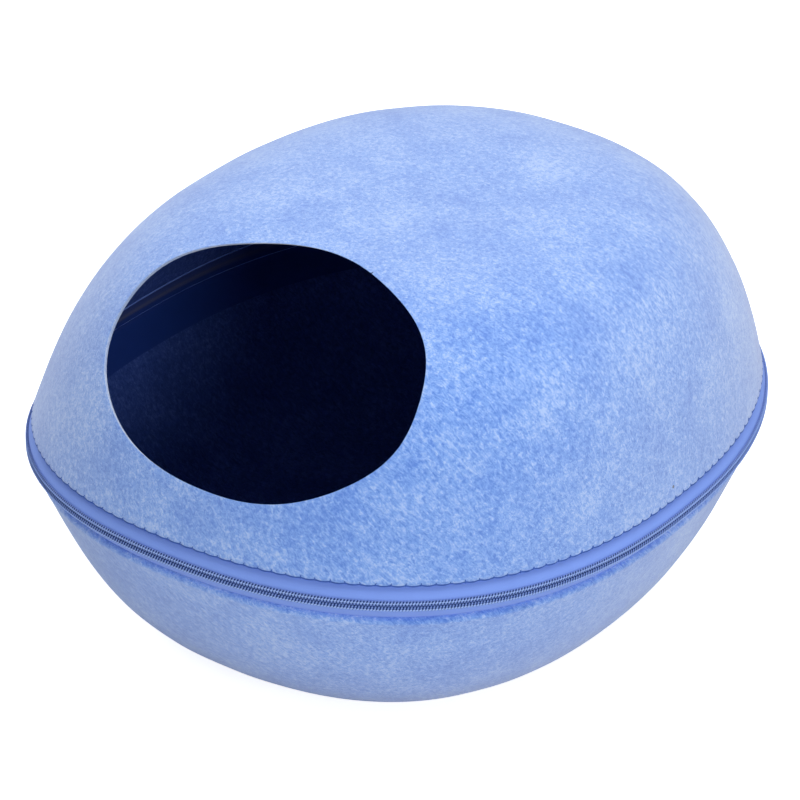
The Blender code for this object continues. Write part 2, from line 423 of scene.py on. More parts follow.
# %% [markdown]
# ## Felt
# Pressed felt is a mat of short crimped fibres. From a step away it reads as a fine mottle of
# pale and deep blue with thin curly lines, over soft cloudy patches. The group below is fed
# with object coordinates, so the same cloth runs over every piece without seams. It puts out
# a tone, a height for the bump, and a mask for the odd dark fleck of plant matter.

# %% The felt group
FIBRE_TURN = (0, math.radians(46), math.radians(26))     # most fibres run down to the right
FIBRE_STRETCH = 4.0              # how much longer than wide a fibre's mark is
FIBRE_STARTS = ((0, 0, 0), (3.7, 1.9, 5.3))              # of the pale fibres, of the dark ones
FIBRE_SCALE = 1.15               # of the mottle's
FIBRE_THINNESS = 14.0
CLOUD_TONE = 0.75                # what each pattern gives to the tone
MOTTLE_TONE = 1.8
PALE_TONE = 0.22
DARK_TONE = -0.26
PALE_RELIEF = 0.25               # how much pale fibres add to the mottle's relief
FLECK_RADIUS = 0.012             # in cells of the fleck pattern


def felt_group():
    inputs = [
        ("Vector", "NodeSocketVector", None),
        ("Mottle Per Metre", "NodeSocketFloat", 330.0),
        ("Clouds Per Metre", "NodeSocketFloat", 26.0),
        ("Flecks Per Metre", "NodeSocketFloat", 11.0),
    ]
    group, given, result = new_group("felt_fibres", inputs, ["Tone", "Height", "Fleck"])
    vector = given.outputs["Vector"]
    scale = given.outputs["Mottle Per Metre"]
    mottle = noise_value(group, vector, scale, Detail=4.0, Roughness=0.8, Distortion=0.4)
    scale = given.outputs["Clouds Per Metre"]
    clouds = noise_value(group, vector, scale, Detail=3.0, Roughness=0.55, Distortion=0.3)
    scale = math_node(group, "MULTIPLY", given.outputs["Mottle Per Metre"], FIBRE_SCALE)
    lines = []
    for start in FIBRE_STARTS:
        laid = add_node(group, "ShaderNodeMapping", vector_type="TEXTURE", Location=start)
        laid.inputs["Rotation"].default_value = FIBRE_TURN
        laid.inputs["Scale"].default_value = (FIBRE_STRETCH, 1, 1)
        feed(group, laid.inputs["Vector"], vector)
        place = laid.outputs[0]
        curls = noise_value(group, place, scale, Detail=1.0, Roughness=0.5, Distortion=1.2)
        away = math_node(group, "SUBTRACT", curls, 0.5)
        away = math_node(group, "ABSOLUTE", away)
        away = math_node(group, "MULTIPLY", away, -FIBRE_THINNESS)
        lines.append(math_node(group, "ADD", away, 1.0, clamp=True))
    pale_line, dark_line = lines
    shade = math_node(group, "SUBTRACT", clouds, 0.5)
    grain = math_node(group, "SUBTRACT", mottle, 0.5)
    tone = math_node(group, "MULTIPLY", shade, CLOUD_TONE)
    for pattern, share in (
        (grain, MOTTLE_TONE),
        (pale_line, PALE_TONE),
        (dark_line, DARK_TONE),
    ):
        tone = math_node(group, "ADD", tone, math_node(group, "MULTIPLY", pattern, share))
    tone = math_node(group, "ADD", tone, 0.5, clamp=True)
    feed(group, result.inputs["Tone"], tone)
    standing = math_node(group, "MULTIPLY", pale_line, PALE_RELIEF)
    feed(group, result.inputs["Height"], math_node(group, "ADD", mottle, standing))
    cells = add_node(group, "ShaderNodeTexVoronoi", feature="F1", Randomness=1.0)
    feed(group, cells.inputs["Vector"], vector)
    feed(group, cells.inputs["Scale"], given.outputs["Flecks Per Metre"])
    near = math_node(group, "LESS_THAN", cells.outputs["Distance"], FLECK_RADIUS)
    feed(group, result.inputs["Fleck"], near)
    return group


FELT_FIBRES = felt_group()
print("felt group nodes:", len(FELT_FIBRES.nodes))

# %% [markdown]
# ## Four finishes of felt
# The outside is the colour of the cloth, with a soft sheen from the loose fibres that stand on
# it, and a painted sheen: its colour turns paler where the felt is seen aslant. The inside is
# the same felt set much deeper, as painted shade of the dim cave. The cut shows the middle of
# the sheet, which is paler, and its outer corner is set deeper again, as painted shade.

# %% Felt materials
GRAZING_SHEEN_COLOUR = (0.46, 0.57, 0.86)  # painted sheen: the paler colour the felt takes where it is seen aslant
GRAZING_SHEEN_POWER = 1.3
TONES = (0.12, 0.5, 0.88)        # at which the deep, the middle and the pale colour lie
FELT_RELIEF = 0.0008


def felt_material(name, deep, middle, pale, fleck, sheen, bump, grazing_sheen=0.0):
    """Felt in three tones of one colour, with the fibres' relief, a soft sheen and a painted
    sheen.
    """
    material, tree, shader = new_material(
        name,
        Roughness=0.95,
        Specular_IOR_Level=0.15,
        Sheen_Weight=sheen,
        Sheen_Roughness=0.6,
        Sheen_Tint=(1.0, 0.96, 0.90, 1),
    )
    place = add_node(tree, "ShaderNodeTexCoord")
    fibres = add_node(tree, "ShaderNodeGroup", node_tree=FELT_FIBRES)
    feed(tree, fibres.inputs["Vector"], place.outputs["Object"])
    ramp = add_node(tree, "ShaderNodeValToRGB")
    ramp.color_ramp.elements.new(TONES[1])
    for mark, tone, colour in zip(ramp.color_ramp.elements, TONES, (deep, middle, pale)):
        mark.position = tone
        mark.color = (*colour, 1)
    feed(tree, ramp.inputs["Fac"], fibres.outputs["Tone"])
    flecked = mix_colours(tree, fibres.outputs["Fleck"], ramp.outputs["Color"], fleck)
    # Painted sheen: the colour is mixed towards a paler one where the felt is seen aslant.
    slant = add_node(tree, "ShaderNodeLayerWeight", Blend=0.5)
    sheen_amount = math_node(tree, "POWER", slant.outputs["Facing"], GRAZING_SHEEN_POWER)
    sheen_amount = math_node(tree, "MULTIPLY", sheen_amount, grazing_sheen)
    feed(tree, shader.inputs["Base Color"], mix_colours(tree, sheen_amount, flecked, GRAZING_SHEEN_COLOUR))
    add_relief(tree, shader, fibres.outputs["Height"], bump, FELT_RELIEF)
    return material


felt_blue = felt_material(
    "felt_blue",
    deep=(0.098, 0.235, 0.715),
    middle=(0.203, 0.382, 0.845),
    pale=(0.425, 0.580, 0.925),
    fleck=(0.05, 0.06, 0.12),
    sheen=0.40,
    bump=0.5,
    grazing_sheen=0.35,
)
# The inside: the same felt set much deeper, as painted shade of the cave's dim inside.
felt_inside_painted_shade = felt_material(
    "felt_inside_painted_shade",
    deep=(0.022, 0.056, 0.250),
    middle=(0.036, 0.082, 0.340),
    pale=(0.075, 0.135, 0.460),
    fleck=(0.01, 0.02, 0.06),
    sheen=0.0,
    bump=0.5,
)
felt_cut = felt_material(
    "felt_cut",
    deep=(0.300, 0.460, 0.880),
    middle=(0.440, 0.590, 0.930),
    pale=(0.600, 0.730, 0.970),
    fleck=(0.20, 0.30, 0.60),
    sheen=0.50,
    bump=0.3,
)
# Deeper felt for the outer corner of a cut: painted shade along that corner.
felt_arris_shade = felt_material(
    "felt_arris_shade",
    deep=(0.060, 0.150, 0.600),
    middle=(0.100, 0.230, 0.760),
    pale=(0.200, 0.360, 0.860),
    fleck=(0.05, 0.06, 0.12),
    sheen=0.10,
    bump=0.3,
)

# %% [markdown]
# ## Woven tape, threads, coil and lacquer
# The zip tape is a close plain weave, smoother and more even than felt. Its pattern follows
# the strip's own UV map: U runs once round the cave and V once across the tape. Threads and
# coil turns are small plain shapes, so their finish is mostly gloss and a little unevenness.

# %% The weave group and the other finishes
TAPE_PATCHES = 60.0              # noise per metre
WEAVE_TONE = 0.35
PATCH_TONE = 0.6
TAPE_RELIEF = 0.0002
STRANDS = 900.0                  # noise per metre
STRAND_GLOSS = 0.2               # how far the roughness varies
STRAND_RELIEF = 0.0001


def weave_group():
    inputs = [
        ("Vector", "NodeSocketVector", None),
        ("Threads Round", "NodeSocketFloat", 2600.0),
        ("Threads Across", "NodeSocketFloat", 34.0),
    ]
    group, given, result = new_group("plain_weave", inputs, ["Height"])
    parts = add_node(group, "ShaderNodeSeparateXYZ")
    feed(group, parts.inputs[0], given.outputs["Vector"])
    waves = []
    for axis, label in (("X", "Threads Round"), ("Y", "Threads Across")):
        scaled = math_node(group, "MULTIPLY", parts.outputs[axis], given.outputs[label])
        turn = math_node(group, "MULTIPLY", scaled, math.pi)
        waves.append(math_node(group, "SINE", turn))
    weave = math_node(group, "MULTIPLY", waves[0], waves[1])
    weave = math_node(group, "MULTIPLY", weave, 0.5)
    feed(group, result.inputs["Height"], math_node(group, "ADD", weave, 0.5))
    return group


PLAIN_WEAVE = weave_group()


def tape_material(name, dark, light):
    """Woven tape in two close tones, varied by the weave and by slow patches."""
    material, tree, shader = new_material(
        name, Roughness=0.82, Specular_IOR_Level=0.25, Sheen_Weight=0.12
    )
    place = add_node(tree, "ShaderNodeTexCoord")
    weave = add_node(tree, "ShaderNodeGroup", node_tree=PLAIN_WEAVE)
    feed(tree, weave.inputs["Vector"], place.outputs["UV"])
    patches = noise_value(tree, place.outputs["Object"], TAPE_PATCHES, Detail=2.0)
    tone = math_node(tree, "MULTIPLY", weave.outputs["Height"], WEAVE_TONE)
    tone = math_node(tree, "ADD", tone, math_node(tree, "MULTIPLY", patches, PATCH_TONE))
    feed(tree, shader.inputs["Base Color"], mix_colours(tree, tone, dark, light))
    add_relief(tree, shader, weave.outputs["Height"], 0.3, TAPE_RELIEF)
    return material


def thread_material(name, dark, light, roughness, specular):
    """Thread or plastic in two close tones, varied by a small noise."""
    material, tree, shader = new_material(name, Specular_IOR_Level=specular)
    place = add_node(tree, "ShaderNodeTexCoord")
    strands = noise_value(tree, place.outputs["Object"], STRANDS, Detail=2.0)
    feed(tree, shader.inputs["Base Color"], mix_colours(tree, strands, dark, light))
    gloss = math_node(tree, "MULTIPLY", strands, STRAND_GLOSS)
    gloss = math_node(tree, "ADD", gloss, roughness - STRAND_GLOSS / 2)
    feed(tree, shader.inputs["Roughness"], gloss)
    add_relief(tree, shader, strands, 0.2, STRAND_RELIEF)
    return material


tape_blue = tape_material("tape_blue", (0.180, 0.300, 0.780), (0.225, 0.365, 0.890))
# The tape's inner face is near black: painted shade, as it faces into the dim cave.
tape_inside_painted_shade = tape_material("tape_inside_painted_shade", (0.003, 0.030, 0.210), (0.007, 0.044, 0.280))
coil_blue = thread_material("coil_blue", (0.170, 0.270, 0.640), (0.240, 0.350, 0.740), 0.50, 0.3)
# Near black: painted shade of the gaps between the coil's links.
core_painted_shade = thread_material("core_painted_shade", (0.014, 0.042, 0.170), (0.028, 0.070, 0.240), 0.9, 0.1)
thread_pale = thread_material(
    "thread_pale", (0.260, 0.400, 0.800), (0.370, 0.510, 0.890), 0.8, 0.2
)
thread_dark = thread_material(
    "thread_dark", (0.030, 0.090, 0.380), (0.060, 0.150, 0.520), 0.75, 0.3
)
lacquer_blue = thread_material(
    "lacquer_blue", (0.120, 0.210, 0.600), (0.150, 0.250, 0.680), 0.38, 0.5
)
print("finishes:", len(bpy.data.materials))

# %% [markdown]
# ## The dome
# Felt is pressed over a form, so its thickness hardly varies and it has no seams. A sphere is
# bisected at its equator, its rows are moved onto the dome's rows, and the entry's faces are
# taken out. The points left round the hole are then slid along the felt onto the oval, which
# gives a clean cut edge all round, and Solidify gives the sheet its thickness. A Boolean could
# cut the hole too, but it can leave slivers that catch the light.

# %% Pressing a sphere into a shell
STITCHES = 162
STITCH_COLUMNS = 3               # of a shell to a stitch, so that the edge can be scalloped
COLUMNS = STITCHES * STITCH_COLUMNS
SCALLOP = 0.0005                 # how far a stitch pulls the dome's edge in
SCALLOP_LIFT = 0.6               # how far it pulls it up, as a share of that
edge_angles = angles_round(COLUMNS)


def press_shell(name, lengths, shell_at, upper):
    """A half sphere whose rows lie on a shell's rows, with a pole in the middle."""
    rows = len(lengths) - 1
    add_sphere = bpy.ops.mesh.primitive_uv_sphere_add
    shell = add_piece(add_sphere, segments=COLUMNS, ring_count=2 * rows, radius=1)
    shell.name = name
    bpy.ops.object.mode_set(mode="EDIT")
    bpy.ops.mesh.select_all(action="SELECT")
    bpy.ops.mesh.bisect(
        plane_co=(0, 0, 0),
        plane_no=(0, 0, 1),
        clear_inner=upper,
        clear_outer=not upper,
        threshold=1e-4,
    )
    bpy.ops.object.mode_set(mode="OBJECT")
    points = get_points(shell)
    latitude = np.arcsin(np.clip(np.abs(points[:, 2]), 0, 1)) / (np.pi / 2)
    row_of = np.rint(latitude * rows).astype(int)
    turn = np.mod(np.arctan2(points[:, 1], points[:, 0]), 2 * np.pi) / (2 * np.pi)
    column_of = np.rint(turn * COLUMNS).astype(int) % COLUMNS
    places = np.array([shell_at(edge_angles, length) for length in lengths])
    placed = places[row_of, column_of]
    placed[row_of == rows] = places[-1].mean(axis=0)
    put_points(shell, placed)
    return shell, row_of, column_of


# %% The entry's outline
BEHIND = 9.0                     # a ratio well outside the entry, for the cave's other side


def entry_frame():
    """A point on the entry's middle line, the line's direction, and those aside and up."""
    side = np.array([math.cos(ENTRY_YAW), math.sin(ENTRY_YAW), 0])
    level = np.array([math.sin(ENTRY_YAW), -math.cos(ENTRY_YAW), 0])
    axis = level * math.cos(ENTRY_PITCH) + np.array([0, 0, math.sin(ENTRY_PITCH)])
    rise = np.cross(axis, side)
    start = np.array([0, CENTRE_Y, ZIP_HEIGHT - ENTRY_AXIS_DROP])
    return start, axis, side, rise


def entry_ratio(points):
    """How far out points are from the entry's middle line: 1 is on the cut edge."""
    start, axis, side, rise = entry_frame()
    across = (points - start) @ side / ENTRY_HALF_WIDTH
    up = (points - start) @ rise / ENTRY_HALF_HEIGHT
    turn = np.arctan2(up, across)
    reach = np.ones(len(points))
    for waves, cosine, sine in ENTRY_WOBBLES:
        reach += cosine * np.cos(waves * turn) + sine * np.sin(waves * turn)
    ratio = np.hypot(across, up) / reach
    ahead = (points - start) @ axis
    return np.where(ahead > 0, ratio, BEHIND)


# %% Making the dome
DOME_EDGE_STEPS = (0.0012, 0.0018, 0.0025, 0.0035)
DOME_ROWS = 64                   # after the edge's
SLIDES = 12                      # of the hole's points towards the oval
SLOPE_STEP = 0.05                # of a column or a row, over which a slope is read
NEAR_RINGS = 4                   # rings round the hole that are evened out after it
NEAR_PASSES = 8
dome_steps = row_lengths(dome_lengths[-1], DOME_EDGE_STEPS, DOME_ROWS)
dome, dome_row_of, dome_column_of = press_shell("dome_felt", dome_steps, dome_at, upper=True)
surface = np.array([dome_at(edge_angles, length) for length in dome_steps])


def on_dome(column, row):
    """Points of the dome's outer face at fractions of a column and of a row."""
    low_row = np.clip(np.floor(row).astype(int), 0, len(surface) - 2)
    low_column = np.floor(column).astype(int)
    part_row = (row - low_row)[:, None]
    part_column = (column - low_column)[:, None]
    corners = []
    for step in (0, 1):
        left = surface[low_row + step, low_column % COLUMNS]
        right = surface[low_row + step, (low_column + 1) % COLUMNS]
        corners.append(left * (1 - part_column) + right * part_column)
    return corners[0] * (1 - part_row) + corners[1] * part_row


def slide_to_entry(column, row, rim):
    """Moves the rim's points over the dome, along the slope of their ratio, to the oval."""
    for _ in range(SLIDES):
        gap = entry_ratio(on_dome(column[rim], row[rim])) - 1
        step_column = entry_ratio(on_dome(column[rim] + SLOPE_STEP, row[rim])) - 1 - gap
        step_row = entry_ratio(on_dome(column[rim], row[rim] + SLOPE_STEP)) - 1 - gap
        slope_column = step_column / SLOPE_STEP
        slope_row = step_row / SLOPE_STEP
        length = slope_column ** 2 + slope_row ** 2
        column[rim] -= gap * slope_column / length
        row[rim] -= gap * slope_row / length


def cut_entry(shell, row_of, column_of):
    """Takes the entry's faces out and slides the points left round it onto the oval."""
    bm = bmesh.new()
    bm.from_mesh(shell.data)
    centres = np.array([face.calc_center_median() for face in bm.faces])
    ratios = entry_ratio(centres)
    inside = [face for face, ratio in zip(list(bm.faces), ratios) if ratio < 1]
    column_layer = bm.verts.layers.float.new("column")
    row_layer = bm.verts.layers.float.new("row")
    for vert in bm.verts:
        vert[column_layer] = column_of[vert.index]
        vert[row_layer] = row_of[vert.index]
    bmesh.ops.delete(bm, geom=inside, context="FACES")
    bm.verts.index_update()
    bm.verts.ensure_lookup_table()
    column = np.array([vert[column_layer] for vert in bm.verts], dtype=float)
    row = np.array([vert[row_layer] for vert in bm.verts], dtype=float)
    place = np.array([vert.co for vert in bm.verts])
    open_points = [vert.index for vert in bm.verts if vert.is_boundary]
    rim = np.array([i for i in open_points if row[i] > len(DOME_EDGE_STEPS)])
    slide_to_entry(column, row, rim)
    near = set(rim.tolist())
    ring = set(near)
    for _ in range(NEAR_RINGS):
        ring = {e.other_vert(bm.verts[i]).index for i in ring for e in bm.verts[i].link_edges}
        near |= ring
    fixed = set(rim.tolist())
    loose = [i for i in near if i not in fixed and not bm.verts[i].is_boundary]
    for _ in range(NEAR_PASSES):
        for i in loose:
            others = [e.other_vert(bm.verts[i]).index for e in bm.verts[i].link_edges]
            turned = [column[j] - column[i] for j in others]
            turned = [(t + COLUMNS / 2) % COLUMNS - COLUMNS / 2 for t in turned]
            column[i] += sum(turned) / len(others)
            row[i] = sum(row[j] for j in others) / len(others)
    moved = np.array(sorted(near))
    place[moved] = on_dome(column[moved], row[moved])
    for vert, point in zip(bm.verts, place):
        vert.co = point
    bm.to_mesh(shell.data)
    bm.free()
    shell.data.update()
    return row, column, rim, moved


dome_row_now, dome_column_now, hole_rim, hole_near = cut_entry(dome, dome_row_of, dome_column_of)
print("dome points after the cut:", len(dome.data.vertices))

# %% [markdown]
# ## Thickness, the cut and its soft corners
# A pressed sheet isn't quite even, and each stitch pulls its edge in a little. Solidify makes
# the inner face from the points' normals, which turn sharply at a cut, so the directions are
# evened out and the hole's inner side is slid until the cut is straight. The corners of cut
# felt are soft, so the edges where a cut face meets another finish get a bevel.

# %% Finishing the sheets of felt
UNEVEN = 0.0006                  # slow unevenness of the pressed felt
SLOW_BUMPS = 14.0                # noise per metre
QUICK_BUMPS = 34.0
EDGE_ROWS = 3.0                  # over which the unevenness fades in from the cut edge
SCALLOP_ROWS = 1.6               # over which a stitch's pull fades out
INSIDE, CUT, ARRIS = 1, 2, 3     # places of a shell's materials, after 0, the outside
EVEN_PASSES = 8                  # that even out the direction of the thickness
SQUARE_PASSES = 12               # that spread the straightening of the cut
INNER_ARRIS = 0.0005
OUTER_ARRIS = 0.0009
SHELL_SMOOTH = 60                # degrees between faces that are shaded as one


def uneven(point, hold):
    """How far the felt stands in or out of its form at a point, less where it is held."""
    slow = noise.noise(Vector(point) * SLOW_BUMPS)
    slow += 0.5 * noise.noise(Vector(point) * QUICK_BUMPS)
    return UNEVEN * slow * (1 - hold)


def shape_felt(shell, rows, columns, scallop, flat_level):
    """Slow unevenness all over, and an edge pulled in and up at each stitch."""
    shell.data.update()
    normals = get_points(shell, "normal")
    points = get_points(shell)
    for index, point in enumerate(points):
        edge_hold = math.exp(-rows[index] / EDGE_ROWS)
        level_hold = 1.0 if point[2] < flat_level else 0.0
        amount = uneven(point, max(edge_hold, level_hold))
        at_stitch = 1.0 if round(columns[index]) % STITCH_COLUMNS == 0 else 0.0
        pull = scallop * at_stitch * math.exp(-(rows[index] / SCALLOP_ROWS) ** 2)
        point += normals[index] * (amount - pull)
        point[2] += pull * SCALLOP_LIFT
    put_points(shell, points)


def thicken(shell, materials):
    """Gives a shell its thickness and its materials: outside, inside, cut and arris."""
    for material in materials:
        shell.data.materials.append(material)
    apply_modifier(
        shell,
        "SOLIDIFY",
        "thickness",
        thickness=FELT,
        offset=-1,
        material_offset=INSIDE,
        material_offset_rim=CUT,
    )
    count = len(shell.data.vertices) // 2
    points = get_points(shell)
    inwards = points[count:] - points[:count]
    ends = np.array([edge.vertices[:] for edge in shell.data.edges])
    ends = ends[(ends < count).all(axis=1)]
    first, second = ends[:, 0], ends[:, 1]
    for _ in range(EVEN_PASSES):
        total = inwards.copy()
        np.add.at(total, first, inwards[second])
        np.add.at(total, second, inwards[first])
        inwards = unit_rows(total) * FELT
    points[count:] = points[:count] + inwards
    put_points(shell, points)


def square_cut(shell, count, rim, near):
    """Slides the inner side of the hole until the cut runs straight through the felt."""
    points = get_points(shell)
    start, axis = entry_frame()[:2]
    inner = rim + count
    here = points[inner]
    ratio = entry_ratio(here)[:, None]
    flat = here - start - ((here - start) @ axis)[:, None] * axis
    shifts = np.zeros((len(points), 3))
    shifts[inner] = flat * (1 / ratio - 1)
    held = set(inner.tolist())
    loose = [i + count for i in near if i + count not in held]
    neighbours = {i: [] for i in loose}
    for edge in shell.data.edges:
        first, second = edge.vertices
        for one, other in ((first, second), (second, first)):
            if one in neighbours and other >= count:
                neighbours[one].append(other)
    for _ in range(SQUARE_PASSES):
        for i in loose:
            shifts[i] = np.mean([shifts[j] for j in neighbours[i]], axis=0)
    points += shifts
    put_points(shell, points)
    furthest = round(float(np.abs(shifts).max()) * 1000, 2)
    print("inner side of the hole moved by up to, mm:", furthest)


def round_arris(shell, face_kind, width, segments, material=-1):
    """Bevels the edges between cut faces and one kind of face, as cut felt is soft there."""
    bm = bmesh.new()
    bm.from_mesh(shell.data)
    arrises = []
    for edge in bm.edges:
        kinds = sorted(face.material_index for face in edge.link_faces)
        if kinds == sorted((CUT, face_kind)):
            arrises.append(edge.index)
    bm.free()
    unselect_mesh(shell)
    for index in arrises:
        shell.data.edges[index].select = True
    bpy.ops.object.mode_set(mode="EDIT")
    bpy.ops.mesh.select_mode(type="EDGE")
    bpy.ops.mesh.bevel(
        offset=width,
        segments=segments,
        affect="EDGES",
        clamp_overlap=True,
        material=material,
    )
    bpy.ops.object.mode_set(mode="OBJECT")
    print(shell.name, "arris edges rounded:", len(arrises))


shape_felt(dome, dome_row_now, dome_column_now, SCALLOP, flat_level=-1)
dome_count = len(dome.data.vertices)
thicken(dome, (felt_blue, felt_inside_painted_shade, felt_cut, felt_arris_shade))
square_cut(dome, dome_count, hole_rim, hole_near)
round_arris(dome, INSIDE, INNER_ARRIS, 2)
# the outer corner takes the deeper felt, as painted shade
round_arris(dome, 0, OUTER_ARRIS, 2, ARRIS)
finish_piece(dome, node="upper_shell", smooth=SHELL_SMOOTH)

# %% [markdown]
# ## The bowl
# The bowl is pressed the same way, with its pole under the flat base. It isn't scalloped: its
# edge stands free as a soft ledge in front of the tape. The base stays exactly level, because
# the cave rests on it, so the unevenness stops there.

# %% Making the bowl
BOWL_EDGE_STEPS = (0.0036, 0.0036)
BOWL_ROWS = 44                   # after the edge's
BASE_ROWS = 14
BASE_LEVEL = 0.004               # below this the felt is kept even
BOWL_ARRIS = 0.0031
bowl_side = bowl_lengths[-1]
base_row = bowl_at(edge_angles, bowl_side)
base_middle = np.array([0, CENTRE_Y, 0])


def bowl_and_base(angles, step):
    """A row of the bowl's side, or past its last length, a row of the flat base."""
    if step <= bowl_side:
        return bowl_at(angles, step)
    share = min(1.0, (step - bowl_side) / BASE_ROWS)
    return base_row * (1 - share) + base_middle * share


bowl_steps = row_lengths(bowl_side, BOWL_EDGE_STEPS, BOWL_ROWS)
bowl_steps += [bowl_side + step for step in range(1, BASE_ROWS + 1)]
bowl, bowl_row_of, bowl_column_of = press_shell(
    "bowl_felt", bowl_steps, bowl_and_base, upper=False
)
shape_felt(bowl, bowl_row_of, bowl_column_of, 0.0, flat_level=BASE_LEVEL)
thicken(bowl, (felt_blue, felt_inside_painted_shade, felt_blue, felt_blue))
round_arris(bowl, 0, BOWL_ARRIS, 5)
finish_piece(bowl, node="lower_shell", smooth=SHELL_SMOOTH)
print("bowl lowest point, m:", min(vert.co.z for vert in bowl.data.vertices))

# %% [markdown]
# ## The zip tapes
# Each tape is a woven strip sewn behind the felt's edge. From there it runs out to the coil
# and turns upright behind it. A grid is wrapped round the cave, its two ends are merged, and
# Solidify gives it thickness. The strip's own UV map then carries the weave.

# %% Making the tapes
TAPE_COLUMNS = 480
COIL_WIDTH = 0.00335
COIL_DEPTH = 0.0015
TAPE_BACK = -COIL_DEPTH          # the coil is sewn down hard, so no light passes behind it
FLAT_LEVELS = (0.00015, 0.0018, 0.0035)  # of the rows behind the coil, from the zip's middle
TAPE_LAP = 0.006                 # how far the tape runs up behind the felt
LAP_START = 0.002
UPPER_TURN = -0.0008             # past the felt's edge, where the tape turns outwards
LOWER_TURN = -0.0012
TURN_GAP = 0.0001                # there the tape is pressed to the felt
SLOPE_STEPS = 5
TAPE_BULGE = 0.0004
tape_angles = angles_round(TAPE_COLUMNS)


def sloped_rows(first, last):
    """Rows between two rows, bowed outwards a little."""
    rows = []
    out = out_of(first)
    for step in range(1, SLOPE_STEPS):
        share = step / SLOPE_STEPS
        row = first * (1 - share) + last * share
        rows.append(row + out * TAPE_BULGE * math.sin(math.pi * share))
    return rows


def make_tape(name, rows, node):
    tape = add_strip(name, rows)
    for material in (tape_blue, tape_inside_painted_shade):
        tape.data.materials.append(material)
    apply_modifier(
        tape,
        "SOLIDIFY",
        "thickness",
        thickness=TAPE,
        offset=-1,
        use_even_offset=True,
        material_offset=1,
        material_offset_rim=0,
    )
    finish_piece(tape, node=node)
    return tape


upper_flat = [zip_row(tape_angles, TAPE_BACK, up) for up in FLAT_LEVELS]
upper_turn = lap_row(dome_at, tape_angles, UPPER_TURN, TURN_GAP)
upper_lap = [lap_row(dome_at, tape_angles, length) for length in (LAP_START, TAPE_LAP)]
upper_rows = upper_flat + sloped_rows(upper_flat[-1], upper_turn) + [upper_turn] + upper_lap
upper_tape = make_tape("upper_tape", upper_rows, "upper_zip_tape")

lower_flat = [zip_row(tape_angles, TAPE_BACK, -up) for up in reversed(FLAT_LEVELS)]
lower_turn = lap_row(bowl_at, tape_angles, LOWER_TURN, TURN_GAP)
lower_lap = [lap_row(bowl_at, tape_angles, length) for length in (TAPE_LAP, LAP_START)]
lower_rows = lower_lap + [lower_turn] + sloped_rows(lower_turn, lower_flat[0]) + lower_flat
lower_tape = make_tape("lower_tape", lower_rows, "lower_zip_tape")

# %% [markdown]
# ## The coils
# A coil is one plastic wire wound into flat links round a cord and sewn to the edge of the
# tape. One link is modelled from a torus: half of it is pulled upwards, which leaves straight
# sides, and its inner end is widened into the head that grips the other coil. It is then
# copied along the zip. The links lean, so the lower coil starts 0.7 of a link further on.

# %% One link and its copies
PITCH = 0.00182
LINKS = round(ZIP_LENGTH / PITCH)
WIRE = 0.00031                   # half the wire's thickness
LINK_BEND = COIL_DEPTH / 2 - WIRE
WIRE_FLATTENING = 1.5            # how much wider than thick the pressed wire is
HEAD_WIDENING = 1.1
HEAD_HEIGHT = 0.0011
LINK_SLANT = 0.30                # how far a link leans along the zip for its height
LOWER_PHASE = 0.70               # of a link, where the lower coil starts
SLIDER_HALF = 0.0004             # the coils stop this far from the slider's middle


def model_link(side):
    """A link with x along the zip, y outwards and z up from the chain's middle."""
    link = add_piece(
        bpy.ops.mesh.primitive_torus_add,
        major_segments=12,
        minor_segments=5,
        major_radius=LINK_BEND,
        minor_radius=WIRE,
        rotation=(0, math.pi / 2, 0),
    )
    select_only(link)
    bpy.ops.object.transform_apply(rotation=True)
    unselect_mesh(link)
    for vert in link.data.vertices:
        vert.select = vert.co.z > MERGE
    bpy.ops.object.mode_set(mode="EDIT")
    bpy.ops.mesh.select_mode(type="VERT")
    bpy.ops.transform.translate(value=(0, 0, COIL_WIDTH - 2 * (LINK_BEND + WIRE)))
    bpy.ops.object.mode_set(mode="OBJECT")
    lowest = min(vert.co.z for vert in link.data.vertices)
    for vert in link.data.vertices:
        vert.co.z += TOUCH / 2 - lowest
        head = max(0.0, 1 - vert.co.z / HEAD_HEIGHT)
        vert.co.x *= WIRE_FLATTENING * (1 + (HEAD_WIDENING - 1) * head)
        vert.co.y -= COIL_DEPTH / 2
        vert.co.z *= side
        vert.co.x += LINK_SLANT * vert.co.z
    if side < 0:
        link.data.flip_normals()
    return link


def chain_frames(phase, out, up):
    """Places a link apart beside the zip line, with their axes: along, outwards and up."""
    lengths = (np.arange(LINKS) + phase) * ZIP_LENGTH / LINKS
    places = zip_row(angles_at(lengths), out, up)
    step = ZIP_LENGTH / LINKS / 4
    ahead = zip_row(angles_at(lengths + step), out, up)
    behind = zip_row(angles_at(lengths - step), out, up)
    along = unit_rows(ahead - behind)
    outward = level_out(along)
    upward = unit_rows(np.cross(along, -outward))
    clear = np.abs(places[:, 0]) + (places[:, 1] < 0) > SLIDER_HALF
    axes = np.stack([along, outward, upward], axis=1)
    return places[clear], axes[clear]


for label, side, phase in (("upper", 1, 0.0), ("lower", -1, LOWER_PHASE)):
    places, axes = chain_frames(phase, 0.0, 0.0)
    coil = copy_along(label + "_coil", model_link(side), places, axes)
    finish_piece(coil, [coil_blue], label + "_zip_coil")

# %% [markdown]
# ## Cord and sewing of the coils
# The cord inside each coil shows only between the links, and it is coloured near black as
# painted shade of those gaps. The row of chain stitch that holds the coil down lies on its outer
# face, a stitch to a link, and catches the light.

